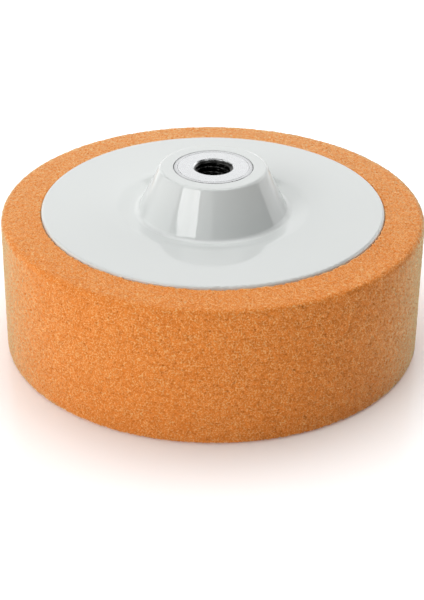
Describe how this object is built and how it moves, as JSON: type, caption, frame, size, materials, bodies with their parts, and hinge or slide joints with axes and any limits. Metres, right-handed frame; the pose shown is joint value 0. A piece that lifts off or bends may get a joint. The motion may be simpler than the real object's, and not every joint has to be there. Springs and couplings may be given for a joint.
{
  "type": "polishing pad",
  "caption": "Round open-cell foam polishing pad bonded to a moulded plate, whose conical hub holds a threaded metal bush for a polisher's spindle.",
  "frame": {"origin": "centre of the foam's flat working face, where the pad rests on a surface", "axes": "+Z along the spindle's axis, from the working face towards the hub; the part is round about Z, so +X is free"},
  "size_m": [0.15, 0.15, 0.0665],
  "materials": {
    "foam": "orange open-cell polyurethane foam, matt, cut surfaces",
    "adhesive": "cured contact adhesive, amber, matt",
    "plate_plastic": "glossy light grey moulded ABS",
    "insert_metal": "turned, zinc-plated steel"
  },
  "bodies": {
    "root": {"foam_pad": "foam", "adhesive_layer": "adhesive", "backing_plate": "plate_plastic", "threaded_insert": "insert_metal"}
  },
  "joints": []
}
